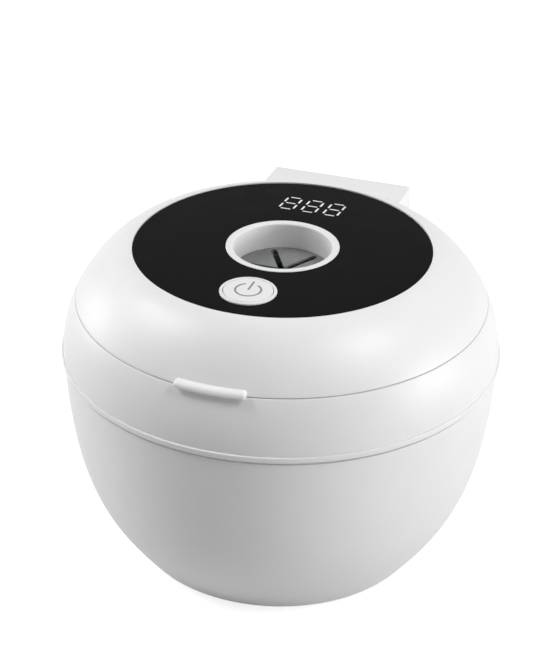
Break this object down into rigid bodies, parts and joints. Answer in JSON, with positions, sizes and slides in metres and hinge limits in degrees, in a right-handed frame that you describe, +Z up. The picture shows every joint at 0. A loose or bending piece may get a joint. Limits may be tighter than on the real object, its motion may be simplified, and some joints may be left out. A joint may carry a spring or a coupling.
{
  "type": "contact lens cleaner",
  "caption": "Round desk-top contact lens cleaner: white bowl with a hinged domed lid, black display panel, central well, power button, inner steel tank and lens case.",
  "frame": {"origin": "centre of the resting plane under the rubber feet", "axes": "+Z up, -Y the front with lift tab and power button, +Y the hinge side, +X to the right seen from the front"},
  "size_m": [0.096, 0.096, 0.0727],
  "materials": {
    "white_abs": "satin moulded white",
    "black_acrylic": "smooth black panel",
    "lit_segment": "white lit display bars",
    "grey_silicone": "soft matt grey silicone",
    "grey_print": "grey pad-printed symbol",
    "stainless_tank": "pressed and brushed stainless steel",
    "steel_hardware": "bright plated steel",
    "piezo_ceramic": "fired ceramic with silvered face",
    "circuit_board": "green solder mask",
    "black_component": "black moulded component",
    "capacitor_can": "sleeved aluminium can",
    "coil_winding": "enamelled copper winding",
    "battery_wrap": "foil pouch in tape",
    "magnet_nickel": "nickel-plated magnet",
    "foot_rubber": "matt grey rubber",
    "case_white": "moulded white",
    "case_blue": "moulded pale blue",
    "natural_plastic": "natural moulded plastic"
  },
  "bodies": {
    "base": {"lower_bowl": "white_abs", "body_ring": "white_abs", "base_cover": "white_abs", "rubber_feet": "foot_rubber", "base_screws": "steel_hardware", "tank": "stainless_tank", "tank_seal": "grey_silicone", "piezo_disc": "piezo_ceramic", "main_board": "circuit_board", "board_screws": "steel_hardware", "battery_pack": "battery_wrap", "driver_coil": "coil_winding", "board_capacitors": "capacitor_can", "board_chips": "black_component", "usb_socket": "steel_hardware", "hinge_pin": "steel_hardware", "body_magnet": "magnet_nickel"},
    "lid": {"lid_shell": "white_abs", "display_panel": "black_acrylic", "display_segments": "lit_segment", "display_module": "black_component", "well_collar": "white_abs", "well_slit_disc": "grey_silicone", "disc_retainer": "natural_plastic", "button_bezel": "white_abs", "tact_switch": "black_component", "lid_board": "circuit_board", "lid_board_screws": "steel_hardware", "lid_liner": "white_abs", "liner_screws": "steel_hardware", "lid_gasket": "grey_silicone", "lid_magnet": "magnet_nickel"},
    "button": {"button_cap": "white_abs", "power_icon": "grey_print", "switch_plunger": "black_component"},
    "lens_case": {"lens_case_body": "case_white"},
    "left_cap": {"left_lens_cap": "case_white"},
    "right_cap": {"right_lens_cap": "case_blue"}
  },
  "joints": [
    {"name": "lid_hinge", "type": "hinge", "parent": "base", "child": "lid", "pos_m": [0, 0.04135, 0.0644], "axis": [-1, 0, 0], "range_deg": [0, 90]},
    {"name": "button_press", "type": "slide", "parent": "lid", "child": "button", "axis": [0, 0, -1], "range_m": [0, 0.0005], "stiffness_N_per_m": 1500, "springref_m": -0.0003},
    {"name": "case_lift", "type": "slide", "parent": "base", "child": "lens_case", "axis": [0, 0, 1], "range_m": [0, 0.007]},
    {"name": "left_cap_lift", "type": "slide", "parent": "lens_case", "child": "left_cap", "axis": [0, 0, 1], "range_m": [0, 0.012]},
    {"name": "right_cap_lift", "type": "slide", "parent": "lens_case", "child": "right_cap", "axis": [0, 0, 1], "range_m": [0, 0.012]}
  ]
}
